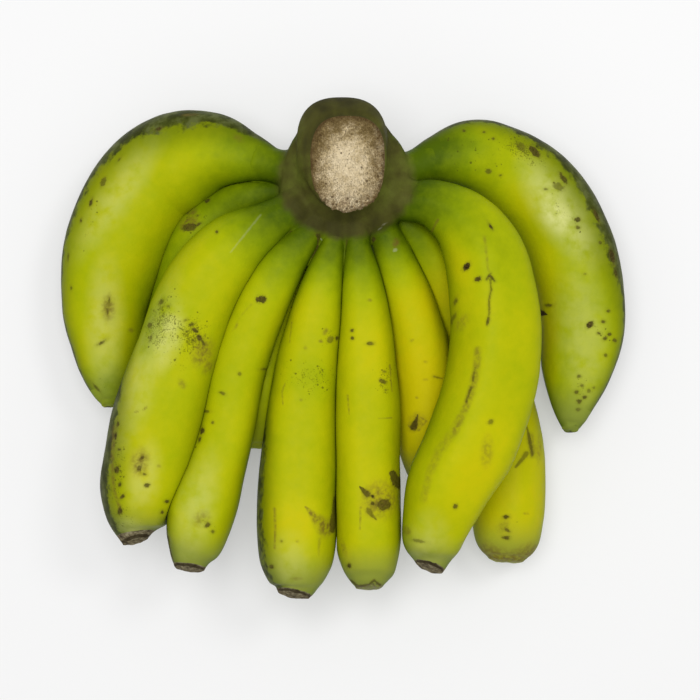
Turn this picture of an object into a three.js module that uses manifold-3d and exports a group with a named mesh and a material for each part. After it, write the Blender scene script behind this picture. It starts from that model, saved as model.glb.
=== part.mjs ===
// A hand of bananas: eleven fruit grown on one stalk crown, lying belly down on a table.
// Millimetres. X runs along the hand from side to side, Y from the finger tips to the stalk,
// Z up from the table to the cut end of the stalk.
import * as THREE from 'three';
import { mergeVertices } from 'three/addons/utils/BufferGeometryUtils.js';
import Module from 'manifold-3d';

const wasm = await Module();
wasm.setup();

// Faces round a fruit, rings between two stations of its line, and its five soft ridges
const FRUIT_SIDES = 20;
const RINGS_PER_STATION = 2;
const RIDGES = 5;
const RIDGE_SHARE = 0.025;

// Faces round the stalk crown and rings between two of its sections
const CROWN_SIDES = 36;
const RINGS_PER_SECTION = 2;

// Skin and rind colours, from the yellowest fruit to the dark stalk
const LEMON = 0xbdbb14;
const LIME = 0xa9b622;
const OLIVE = 0x93a318;
const RIND = 0x4c5427;
const SKIN_ROUGHNESS = 0.45;
const RIND_ROUGHNESS = 0.7;

// Clear space between neighbouring pieces, and the table that the bellies rest on
const GAP = 0.3;
const TABLE_Z = 0;
const TABLE_CUT_WIDTH = 400;
const TABLE_CUT_DEPTH = 40;

// The crown from its underside up to the cut end: height, middle across, middle along,
// half width across, half width along.
const CROWN_SECTIONS = [
  [26, 2, 80, 14, 13],
  [32, 2, 80, 25, 21],
  [42, 1.5, 81, 30, 27.5],
  [54, 1.5, 82, 29.5, 28.5],
  [63, 1, 88, 24.5, 26.5],
  [71, 1, 92, 21, 23],
  [79, 3, 86, 18.5, 23],
  [82, 3, 83.5, 16.5, 21.5],
];

// Every fruit from its neck in the crown to its dry tip, at stations of x, y, z and radius.
// depth is the thickness up from the table as a share of the width across.
// They go from the uppermost down: a fruit is pressed in by the ones before it.
const FRUITS = [
  {
    name: 'finger_04', skin: LIME, depth: 1.04, line: [
      [-6, 66, 53, 4.5], [-17, 52, 54, 6.5], [-26, 40, 52, 9.5], [-35, 23, 50, 11.5],
      [-42, 7, 48, 12.5], [-48, -13, 47, 13], [-53, -38, 48, 13.5], [-58, -57, 51, 14],
      [-63, -73, 53, 15.5], [-67, -89, 54, 13.5], [-70, -98, 55, 9.5], [-72, -103, 55, 6],
    ],
  },
  {
    name: 'finger_06', skin: LIME, depth: 1.04, line: [
      [-1, 66, 53, 4.5], [-4, 50, 54, 6], [-8, 35, 52, 9], [-11, 21, 49, 11.5],
      [-15, 0, 47, 14], [-18, -24, 45, 16], [-20, -50, 45, 18.5], [-21, -71, 46, 19],
      [-21, -87, 48, 19], [-22, -102, 50, 16.5], [-21, -110, 51, 11], [-21, -115, 52, 6],
    ],
  },
  {
    name: 'finger_07', skin: LIME, depth: 1.04, line: [
      [5, 66, 53, 4.5], [7, 50, 54, 6], [9, 35, 52, 9], [11, 19, 49, 11],
      [12, 0, 47, 12.5], [13, -24, 45, 14.5], [13, -52, 45, 15], [13, -75, 46, 15],
      [13, -92, 48, 15], [12, -103, 50, 12], [12, -109, 51, 8.5], [12, -113, 51, 6],
    ],
  },
  {
    name: 'finger_10', skin: LIME, depth: 1.0, line: [
      [16, 74, 52, 6], [31, 69, 53, 7.5], [43, 67, 54, 10.5], [56, 59, 55, 15],
      [65, 45, 56, 18.5], [69, 28, 56, 20], [71, 8, 56, 21], [69, -14, 56, 21.5],
      [60, -42, 56, 21.5], [50, -62, 55, 20], [44, -80, 54, 16.5], [42, -94, 54, 12],
      [42, -105, 54, 5.5],
    ],
  },
  {
    name: 'finger_03', skin: LIME, depth: 1.0, line: [
      [-11, 70, 54, 6], [-25, 64, 55, 8], [-36, 56, 55, 11], [-49, 47, 54, 14.5],
      [-60, 34, 53, 16.5], [-69, 18, 52, 18], [-77, -2, 52, 19], [-85, -26, 52, 21],
      [-90, -49, 51, 21], [-94, -67, 50, 19.5], [-96, -80, 50, 14.5], [-96, -90, 51, 6],
    ],
  },
  {
    name: 'finger_01', skin: LIME, depth: 0.9, line: [
      [-11, 84, 48, 6], [-28, 86, 46, 7], [-44, 91, 40, 12.5], [-60, 95, 34, 18],
      [-76, 93, 27, 22.5], [-93, 84, 22, 23.5], [-106, 65, 20.5, 24], [-113, 43, 20, 23.5],
      [-115, 22, 21, 21.5], [-114, 2, 23, 17.5], [-113, -14, 26, 12], [-112, -26, 28, 5.5],
    ],
  },
  {
    name: 'finger_11', skin: LIME, depth: 0.9, line: [
      [15, 83, 48, 6], [31, 85, 46, 7], [45, 89, 41, 12], [61, 92, 35, 17],
      [77, 88, 28, 19.5], [92, 79, 23, 20.5], [104, 65, 20, 21.5], [112, 46, 19, 22],
      [116, 28, 19, 21.5], [117, 10, 20, 20.5], [114, -10, 23, 17.5], [112, -24, 26, 12],
      [110, -39, 29, 5.5],
    ],
  },
  {
    name: 'finger_08', skin: LEMON, depth: 1.0, line: [
      [10, 68, 46, 4.5], [20, 54, 43, 7], [26, 38, 39, 10], [32, 22, 34, 12.5],
      [37, 2, 28, 14.5], [40, -19, 23, 15.5], [41, -39, 20, 15], [41, -56, 20, 11.5],
      [40, -68, 21, 5],
    ],
  },
  {
    name: 'finger_02', skin: OLIVE, depth: 1.0, line: [
      [-11, 76, 42, 5], [-28, 75, 38, 5.5], [-41, 73, 34, 8.5], [-56, 67, 29, 12],
      [-68, 53, 23, 14.5], [-76, 32, 17, 16], [-80, 10, 16, 16.5], [-82, -15, 15.5, 16],
      [-84, -37, 16, 14.5], [-84, -54, 17, 10.5], [-84, -65, 18, 5],
    ],
  },
  {
    name: 'finger_05', skin: OLIVE, depth: 1.0, line: [
      [-5, 68, 42, 4.5], [-13, 54, 38, 6], [-21, 38, 32, 10], [-29, 19, 24, 14],
      [-36, 0, 18, 15], [-40, -22, 16, 14], [-42, -37, 17, 11.5], [-42, -48, 18, 5.5],
    ],
  },
  {
    name: 'finger_09', skin: LEMON, depth: 1.0, line: [
      [14, 72, 38, 5], [29, 59, 33, 6.5], [41, 43, 24, 10], [53, 22, 18, 13],
      [65, 0, 16, 15.5], [75, -21, 17, 17.5], [80, -42, 17.5, 18], [81.5, -64, 18, 18.5],
      [81, -83, 20, 17.5], [81, -95, 21, 14], [81, -103, 22, 6.5],
    ],
  },
];

// Turns a three.js shape into a closed body that can be joined and cut
function toBody(shape) {
  shape.deleteAttribute('normal');
  shape.deleteAttribute('uv');
  const merged = mergeVertices(shape, 1e-4);
  const index = merged.getIndex().array;
  const corners = [];
  for (let i = 0; i < index.length; i += 3) {
    const [a, b, c] = [index[i], index[i + 1], index[i + 2]];
    if (a !== b && b !== c && c !== a) {
      corners.push(a, b, c);
    }
  }
  return new wasm.Manifold(new wasm.Mesh({
    numProp: 3,
    vertProperties: new Float32Array(merged.getAttribute('position').array),
    triVerts: new Uint32Array(corners),
  }));
}

// Turns a body back into a named three.js mesh of its own colour
function toMesh(body, name, color, roughness) {
  const made = body.getMesh();
  const shape = new THREE.BufferGeometry();
  shape.setAttribute('position', new THREE.BufferAttribute(made.vertProperties, 3));
  shape.setIndex(new THREE.BufferAttribute(made.triVerts, 1));
  shape.computeVertexNormals();
  const finish = new THREE.MeshStandardMaterial({ color, roughness, metalness: 0 });
  const mesh = new THREE.Mesh(shape, finish);
  mesh.name = name;
  return mesh;
}

// The largest piece of a body, without the crumbs that a cut can leave
function largest(body) {
  return body.decompose().sort((a, b) => b.volume() - a.volume())[0];
}

// A closed tube of unit radius whose height counts rings, to be bent into shape
function tube(sides, rings) {
  const outline = [new THREE.Vector2(0, 0)];
  for (let ring = 0; ring <= rings; ring += 1) {
    outline.push(new THREE.Vector2(1, ring));
  }
  outline.push(new THREE.Vector2(0, rings));
  return new THREE.LatheGeometry(outline, sides);
}

// A fruit swept along its line; swell makes it that much fatter all over
function fruitShape({ line, depth }, swell) {
  const middle = new THREE.CatmullRomCurve3(
    line.map(([x, y, z]) => new THREE.Vector3(x, y, z)),
  );
  const girth = new THREE.SplineCurve(line.map(([, , , r], i) => new THREE.Vector2(i, r)));
  const rings = (line.length - 1) * RINGS_PER_STATION;
  const shape = tube(FRUIT_SIDES, rings);
  const spot = shape.getAttribute('position');
  const up = new THREE.Vector3(0, 0, 1);
  for (let i = 0; i < spot.count; i += 1) {
    const share = spot.getY(i) / rings;
    const along = middle.getTangent(share);
    const side = new THREE.Vector3().crossVectors(along, up).normalize();
    const top = new THREE.Vector3().crossVectors(side, along);
    const angle = Math.atan2(spot.getZ(i), spot.getX(i));
    const ridge = 1 + RIDGE_SHARE * Math.cos(RIDGES * (angle - Math.PI / 2));
    const radius = girth.getPoint(share).y * ridge + swell;
    const place = middle.getPoint(share);
    place.addScaledVector(side, spot.getX(i) * radius);
    place.addScaledVector(top, spot.getZ(i) * radius * depth);
    spot.setXYZ(i, place.x, place.y, place.z);
  }
  return shape;
}

// The crown as rings of ellipses, from its rounded underside to the flat cut end
function crownShape(swell) {
  const rows = CROWN_SECTIONS;
  const middle = new THREE.CatmullRomCurve3(
    rows.map(([z, x, y]) => new THREE.Vector3(x, y, z)),
  );
  const half = new THREE.CatmullRomCurve3(
    rows.map(([, , , across, along]) => new THREE.Vector3(across, along, 0)),
  );
  const rings = (rows.length - 1) * RINGS_PER_SECTION;
  const shape = tube(CROWN_SIDES, rings);
  const spot = shape.getAttribute('position');
  for (let i = 0; i < spot.count; i += 1) {
    const share = spot.getY(i) / rings;
    const centre = middle.getPoint(share);
    const size = half.getPoint(share);
    const lift = swell * (2 * share - 1);
    const x = centre.x + spot.getX(i) * (size.x + swell);
    const y = centre.y - spot.getZ(i) * (size.y + swell);
    spot.setXYZ(i, x, y, centre.z + lift);
  }
  return shape;
}

const hand = new THREE.Group();
hand.name = 'banana_hand';

const belowTable = toBody(
  new THREE.BoxGeometry(TABLE_CUT_WIDTH, TABLE_CUT_WIDTH, TABLE_CUT_DEPTH)
    .translate(0, 0, TABLE_Z - TABLE_CUT_DEPTH / 2),
);

hand.add(toMesh(toBody(crownShape(0)), 'crown', RIND, RIND_ROUGHNESS));

let taken = toBody(crownShape(GAP));
for (const fruit of FRUITS) {
  const whole = toBody(fruitShape(fruit, 0));
  const body = largest(whole.subtract(taken).subtract(belowTable));
  hand.add(toMesh(body, fruit.name, fruit.skin, SKIN_ROUGHNESS));
  taken = taken.add(toBody(fruitShape(fruit, GAP)));
}

export default hand;
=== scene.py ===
# A hand of green-yellow bananas on its dark stalk crown, seen from straight above.
# Metres. The lines of the fruit and the crown follow the part's own stations, in millimetres.
import math
import bmesh
import bpy
import numpy as np
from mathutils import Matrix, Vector, noise


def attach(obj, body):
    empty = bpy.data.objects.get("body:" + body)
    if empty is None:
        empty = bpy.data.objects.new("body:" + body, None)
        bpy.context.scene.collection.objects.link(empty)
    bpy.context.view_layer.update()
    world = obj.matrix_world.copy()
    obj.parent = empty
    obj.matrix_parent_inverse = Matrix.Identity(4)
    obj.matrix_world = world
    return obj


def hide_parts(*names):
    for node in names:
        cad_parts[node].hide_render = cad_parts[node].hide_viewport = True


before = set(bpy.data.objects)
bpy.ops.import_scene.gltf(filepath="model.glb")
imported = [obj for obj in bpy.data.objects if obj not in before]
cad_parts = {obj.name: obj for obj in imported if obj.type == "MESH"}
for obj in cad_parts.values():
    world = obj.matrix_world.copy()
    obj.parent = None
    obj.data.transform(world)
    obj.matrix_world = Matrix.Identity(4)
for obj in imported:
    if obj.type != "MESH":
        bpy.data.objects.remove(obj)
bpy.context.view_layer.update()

MM = 0.001

# The camera hangs straight above the hand; the lens gives 1600 pixels for each metre at 1 m
CAMERA_HEIGHT = 800
CAMERA_X = 4
SENSOR_WIDTH = 36
PICTURE_WIDTH_PX = 700
FOCAL_PX = 1600

# Rings and sides of a fruit's surface, how much closer its sides lie on top, the steps that
# its line takes in each span, and where it starts along the first span, inside the crown
UPPER_SIDES, UPPER_RINGS = 128, 320
LOWER_SIDES, LOWER_RINGS = 96, 240
TOP_CROWDING = 0.4
SPAN_STEPS = 60
START_SHARE = 0.3
RIDGE_WIDTH = math.radians(22)
UNDERSIDE_RIDGES = [(228, 228, 0.05), (308, 308, 0.05)]
# Where fruits lean on each other: the gap left, how soft the press is and how deep it reaches
PRESS_GAP = 0.15
PRESS_SOFTNESS = 0.8
PRESS_REACH = 4
# The least height of the skin above the table
TABLE_GAP = 0.02
# Painted shade on the dark outermost face of a fruit: its mask on the light skin, and how soft its edge
# is
LIGHT_SKIN = -2
FACE_EDGE = 18

# The crown from its underside up to the cut end: height, middle across, middle along,
# half width across, half width along.
CROWN_SECTIONS = [
    [26, 2, 78, 14, 11],
    [32, 2, 78, 25, 19],
    [42, 1.5, 78, 30, 24.5],
    [54, 2, 79, 30, 25.5],
    [63, 0.6, 88, 21.4, 26.5],
    [71, 0.3, 92, 20.4, 23],
    [79, 2.2, 86, 18.2, 23],
    [82, 3, 83.5, 16.5, 21.5],
]
COLLAR = CROWN_SECTIONS[3]
CUT_HEIGHT = 81.8

# Every fruit from its neck to its dry tip, at stations of x, y, z and radius, uppermost first.
# depth: thickness up from the table as a share of the width across.
# ripe: how yellow the middle is.
# ridges: angle at the neck and at the tip in degrees round the line, with 90 facing up,
# and height as a share of the radius.
# tip: how far the end is cut back on one side, the angle of that side, how dry its end is
# and how far the dryness reaches.
# dark: edge angle of the painted shade on the dark outermost face at shares of the length, where there
# is one.
FRUITS = {
    "finger_04": dict(depth=1.04, ripe=0.62, ridges=[(52, 48, 0.05), (128, 124, 0.05)],
        tip=(5, 92, 0.9, 1.2), dark=[(0.8, -40), (0.86, 22), (1, 26)], line=[
        [-6, 66, 53, 5], [-17.5, 52, 54, 7.8], [-27.3, 40.5, 52, 11], [-36.8, 23.5, 50, 12.9],
        [-44, 7.3, 48, 13.7], [-50, -12.7, 47, 13.9], [-54.3, -38, 48, 13.6], [-59.5, -57, 51, 14.6],
        [-64.8, -73.5, 53, 16.4], [-68.2, -89.5, 54, 13.8], [-70.2, -97.5, 55, 10],
        [-71.2, -104, 55, 7]]),
    "finger_06": dict(depth=1.04, ripe=0.66, ridges=[(60, 54, 0.06), (125, 122, 0.06)],
        tip=(3.4, 95, 0.7, 1), dark=[(0.3, -75), (0.46, -20), (0.58, 28), (0.8, 38), (1, 42)], line=[
        [-1, 66, 53, 4.5], [-4, 50, 54, 6], [-8, 35, 52, 9.5], [-11, 21, 49, 12.1], [-15, 0, 47, 14.6],
        [-18, -24, 45, 16.5], [-20, -50, 45, 18.6], [-21, -71, 46, 19.2], [-21, -87, 48, 19.2],
        [-21.3, -101, 50, 17], [-21.6, -108.5, 51, 13], [-21.9, -112.4, 51.5, 10],
        [-22.6, -115.8, 52, 7.6]]),
    "finger_07": dict(depth=1.04, ripe=0.7, ridges=[(64, 70, 0.055), (126, 120, 0.055)],
        tip=(4.5, 95, 0.42, 0.6), line=[
        [5, 66, 53, 4.5], [7, 50, 54, 6], [9, 35, 52, 9.4], [10.3, 19, 49, 12.1], [11, 0, 47, 14.2],
        [11.6, -24, 45, 16.3], [11.9, -52, 45, 16.3], [12, -75, 46, 16.2], [12.5, -92, 48, 15.6],
        [13, -103, 50, 12.5], [13, -109, 51, 9.5], [13, -113, 51, 6.5]]),
    "finger_10": dict(ripe=0.66, ridges=[(100, 56, 0.07), (165, 138, 0.12)], tip=(6.5, 55, 0.75, 1),
        line=[
        [16, 74, 52, 6], [31, 69.5, 53, 8.5], [43, 67.5, 54, 11.2], [56, 59, 55, 15], [65, 45, 56, 18.5],
        [69, 28, 56, 20], [71, 8, 56, 21], [69, -14, 56, 21.5], [60, -42, 56, 21.5], [50, -62, 55, 20],
        [44, -80, 54, 16.5], [41.5, -94, 54, 12.8], [41, -104.5, 54, 6.5]]),
    "finger_03": dict(ripe=0.64, ridges=[(70, 66, 0.05), (134, 130, 0.055)], tip=(5, 140, 1, 3.5),
        dark=[(0.3, -75), (0.5, -20), (0.66, 34), (0.8, 46), (0.9, 46), (1, 56)], line=[
        [-11, 70, 54, 6], [-25, 64, 55, 8.8], [-36.6, 57, 55, 12.2], [-49.9, 48, 54, 16.3],
        [-61.2, 34.8, 53, 18.9], [-69.6, 18.3, 52, 19.9], [-76.6, -2, 52, 20.1],
        [-84.3, -26.2, 52, 21.8], [-89.4, -49, 51, 21.7], [-93.6, -67, 50, 20], [-96, -80, 50, 14.5],
        [-96.5, -91.5, 51, 6]]),
    "finger_01": dict(depth=0.86, ripe=0.62, ridges=[(48, 40, 0.06), (112, 112, 0.02)],
        tip=(2, 90, 0.1, 0.6), dark=[(0.08, 0), (0.14, 42), (0.22, 54), (0.32, 54), (0.42, 43),
              (0.55, 33), (0.66, 28), (0.8, 24), (0.96, 28)], line=[
        [-11, 84, 48, 6], [-28, 86, 46, 7], [-44, 91.2, 40, 12.5], [-59.5, 94.3, 34, 19.3],
        [-75.2, 91.4, 27, 25], [-91.1, 82.7, 22.5, 26.2], [-103.6, 64.2, 22, 26.4],
        [-111.4, 42.8, 21.5, 25], [-115, 22, 21, 21.5], [-114, 2, 23, 17.5], [-113, -14, 26, 12],
        [-112, -27, 28, 4]]),
    "finger_11": dict(depth=0.9, ripe=0.52, ridges=[(134, 138, 0.06), (62, 66, 0.012)],
        tip=(2.5, 90, 0.1, 0.6), dark=[(0.1, 22), (0.2, 28), (0.33, 42), (0.45, 50), (0.6, 50),
              (0.68, 38), (0.78, 26), (0.95, 20)], line=[
        [15, 83, 48, 6], [31, 85, 46, 7], [45, 90, 41, 12], [61, 92.4, 35, 17.8], [76.4, 88.2, 28, 20.6],
        [91.2, 79, 25, 21.7], [103.2, 64.6, 22.5, 22.4], [111.4, 46, 21.5, 22.6], [116, 28, 21, 21.5],
        [117, 10, 21, 20.5], [114, -10, 23, 17.5], [112, -24, 26, 12], [110, -39, 29, 4]]),
    "finger_08": dict(ripe=0.9, ridges=[(120, 130, 0.02)], tip=(3, 90, 0.6, 1), line=[
        [10, 68, 48, 5.5], [20, 54, 46, 8], [26, 38, 43, 10.8], [32, 22, 39, 12.5], [37, 2, 35, 14.5],
        [40, -19, 31, 15.5], [41, -39, 28, 15], [41, -56, 27, 11.5], [40, -68, 27, 5]]),
    "finger_02": dict(ripe=0.34, ridges=[(70, 60, 0.05)], tip=(3, 90, 0.6, 1), line=[
        [-11, 76, 42, 5], [-28, 75, 38, 6.5], [-41, 73, 35, 10.6], [-56, 65.5, 29, 13],
        [-68, 53, 23, 16.5], [-76, 32, 19, 17], [-80, 10, 17, 17], [-82, -15, 15.5, 16],
        [-84, -37, 16, 14.5], [-84, -54, 17, 10.5], [-84, -65, 18, 5]]),
    "finger_05": dict(ripe=0.5, ridges=[(60, 60, 0.04)], tip=(3, 90, 0.1, 1), line=[
        [-5, 68, 42, 4.5], [-13, 54, 40, 6], [-21, 38, 37, 8.5], [-29, 19, 34, 11], [-34.5, 0, 32, 12],
        [-38, -22, 31, 12], [-40.5, -37, 29, 10], [-41, -48, 27, 5]]),
    "finger_09": dict(ripe=0.84, ridges=[(110, 105, 0.05), (45, 45, 0.03)], tip=(2, 80, 0.3, 0.8),
        line=[
        [14, 72, 40, 5], [30, 60, 38, 8.5], [43, 43, 31, 12.5], [54, 22, 23, 14.5], [65, 0, 18, 15.5],
        [75, -21, 17, 17.5], [80, -42, 17.5, 18], [81.5, -64, 18, 18.5], [81, -83, 20, 17.7],
        [80.5, -95, 21, 14.8], [80, -103, 22, 8.4]]),
}
LOWER_ROW = ("finger_02", "finger_05", "finger_08", "finger_09")


def spline(points, gaps, steps):
    """A smooth curve through the points, with steps samples in each span."""
    ends = np.vstack([2 * points[0] - points[1], points, 2 * points[-1] - points[-2]])
    wide = np.concatenate([gaps[:1], gaps, gaps[-1:]])[:, None]
    leap = np.diff(ends, axis=0) / wide
    speed = leap[:-1] + leap[1:] - (ends[2:] - ends[:-2]) / (wide[:-1] + wide[1:])
    t = np.linspace(0, 1, steps, endpoint=False)[None, :, None]
    start, end = points[:-1, None], points[1:, None]
    out = (speed[:-1] * gaps[:, None])[:, None]
    into = (speed[1:] * gaps[:, None])[:, None]
    path = (start * (2 * t**3 - 3 * t**2 + 1) + out * (t**3 - 2 * t**2 + t)
            + end * (3 * t**2 - 2 * t**3) + into * (t**3 - t**2))
    return np.vstack([path.reshape(-1, points.shape[1]), points[-1:]])


def ease(value, low, high):
    """0 below low, 1 above high, and smooth between them."""
    t = np.clip((value - low) / (high - low), 0, 1)
    return t * t * (3 - 2 * t)


def unit(vectors):
    return vectors / np.linalg.norm(vectors, axis=-1, keepdims=True)


def lumps(points, size, seed):
    """Smooth noise from -1 to 1 at each point, with features of that size."""
    away = Vector((seed * 17.3, seed * 5.1, seed * 9.7))
    return np.array([noise.noise(Vector(p) / size + away) for p in points])


def turned(angle):
    """An angle brought between minus half a turn and half a turn."""
    return (angle + math.pi) % (2 * math.pi) - math.pi


class Fruit:
    """The line, girth and ridges of one banana, in millimetres."""

    def __init__(self, name, ripe, ridges, tip, line, depth=1.0, dark=None):
        self.name, self.depth, self.ripe, self.tip, self.dark = name, depth, ripe, tip, dark
        self.seed = int(name[-2:])
        lower = name in LOWER_ROW
        self.sides = LOWER_SIDES if lower else UPPER_SIDES
        self.rings = LOWER_RINGS if lower else UPPER_RINGS
        stations = np.array(line, float)
        gaps = np.sqrt(np.linalg.norm(np.diff(stations[:, :3], axis=0), axis=1))
        path = spline(stations[:, :3], gaps, SPAN_STEPS)
        girth = spline(stations[:, 3:], gaps, SPAN_STEPS)[:, 0]
        first = int(START_SHARE * SPAN_STEPS)
        path, girth = path[first:], girth[first:]
        run = np.concatenate([[0], np.cumsum(np.linalg.norm(np.diff(path, axis=0), axis=1))])
        self.length = run[-1]
        self.run = np.linspace(0, self.length, self.rings)
        self.path = np.stack([np.interp(self.run, run, path[:, k]) for k in range(3)], 1)
        self.girth = np.interp(self.run, run, girth)
        self.along = unit(np.gradient(self.path, axis=0))
        self.side = unit(np.cross(self.along, [0, 0, 1]))
        self.top = np.cross(self.side, self.along)
        self.ridges = [(np.radians(np.interp(self.run, [0, self.length], (neck, tip))), height)
                       for neck, tip, height in ridges + UNDERSIDE_RIDGES]

    def crests(self, ring, angle):
        """How much the ridges lift the skin at each place, as a share of the radius."""
        total = 0
        for place, height in self.ridges:
            total = total + height * (np.exp(-(turned(angle - place[ring]) / RIDGE_WIDTH) ** 2)
                                      - RIDGE_WIDTH / (2 * math.sqrt(math.pi)))
        return total

    def radius(self, ring, angle):
        """Distance from the line to the skin."""
        left = self.length - self.run[ring]
        return self.girth[ring] * (1 + self.crests(ring, angle) * ease(left, 2, 14))

    def surface(self):
        """Points of the skin, ring by ring, with each point's ring and angle."""
        angle = np.linspace(0, 2 * math.pi, self.sides, endpoint=False)
        angle = angle + TOP_CROWDING * np.cos(angle)
        ring, angle = np.meshgrid(np.arange(self.rings), angle, indexing="ij")
        ring, angle = ring.ravel(), angle.ravel()
        reach = self.radius(ring, angle)
        across = (reach * np.cos(angle))[:, None] * self.side[ring]
        upward = (reach * np.sin(angle) * self.depth)[:, None] * self.top[ring]
        cut_back, facing_cut = self.tip[0], math.radians(self.tip[1])
        left = self.length - self.run[ring]
        fade = 1 - ease(left, 0, 2.4 * cut_back)
        back = cut_back * fade * (1 + np.cos(angle - facing_cut)) / 2
        return self.path[ring] + across + upward - back[:, None] * self.along[ring], ring, angle

    def press(self, points):
        """Moves points that would lie inside this fruit out to its skin."""
        moved = points.copy()
        box_low = (self.path - self.girth[:, None]).min(0) - PRESS_REACH
        box_high = (self.path + self.girth[:, None]).max(0) + PRESS_REACH
        near = np.flatnonzero(((points > box_low) & (points < box_high)).all(1))
        if not len(near):
            return moved
        spots = points[near]
        gap = ((spots[:, None] - self.path[None, ::2]) ** 2).sum(2)
        ring = gap.argmin(1) * 2
        off = spots - self.path[ring]
        across = (off * self.side[ring]).sum(1)
        upward = (off * self.top[ring]).sum(1) / self.depth
        reach = np.hypot(across, upward)
        skin = self.radius(ring, np.arctan2(upward, across)) + PRESS_GAP
        inside = skin - reach
        push = 0.5 * (inside + np.sqrt(inside**2 + PRESS_SOFTNESS**2))
        push[(ring == 0) | (inside < -PRESS_REACH)] = 0
        moved[near] += off / np.maximum(reach, 0.5)[:, None] * push[:, None]
        return moved

    def dark_face(self, ring, angle):
        """1 on the painted shade of the dark outermost face, 0.5 on its edge and less on the lighter
        skin.
        """
        if self.dark is None:
            return np.full(len(ring), float(LIGHT_SKIN))
        shares, edges = np.array(self.dark, float).T
        edge = np.interp(self.run[ring] / self.length, shares, edges, left=-40, right=-40)
        outer = np.degrees(turned(angle))
        if self.path[-1, 0] > 0:
            outer = np.degrees(turned(math.pi - angle))
        face = np.clip(0.5 + (edge - outer) / FACE_EDGE, LIGHT_SKIN, 1)
        return face * ease(outer, -120, -70)


def crown_share(points):
    """0 in the crown, 1 at its collar and more outside it, measured level with the table."""
    height, across, along, half_across, half_along = COLLAR
    return np.hypot((points[:, 0] - across) / half_across, (points[:, 1] - along) / half_along)


def grid_faces(rings, sides):
    """Quads that join rings of sides points each into an open tube."""
    ring, side = np.meshgrid(np.arange(rings - 1), np.arange(sides), indexing="ij")
    here = ring * sides + side
    over = ring * sides + (side + 1) % sides
    return np.stack([here, over, over + sides, here + sides], -1).reshape(-1, 4)


def tube_faces(rings, sides):
    """The same tube closed by a flat face at each end."""
    last = (rings - 1) * sides
    ends = [list(range(sides))[::-1], list(range(last, last + sides))]
    return grid_faces(rings, sides).tolist() + ends


def show(name, data):
    """Puts a new object with this data in the scene."""
    shown = bpy.data.objects.new(name, data)
    bpy.context.scene.collection.objects.link(shown)
    return shown


def add_layers(mesh, layers):
    """Stores one value for each point of a mesh under each name."""
    for label, values in layers.items():
        layer = mesh.attributes.new(label, "FLOAT", "POINT")
        layer.data.foreach_set("value", np.asarray(values, np.float32))


def make_mesh(name, points, faces, layers=None):
    """A smooth mesh object from points in millimetres, with a value layer for each mask."""
    mesh = bpy.data.meshes.new(name)
    mesh.from_pydata((points * MM).tolist(), [], [list(map(int, f)) for f in faces])
    mesh.shade_smooth()
    add_layers(mesh, layers or {})
    return show(name, mesh)


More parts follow.
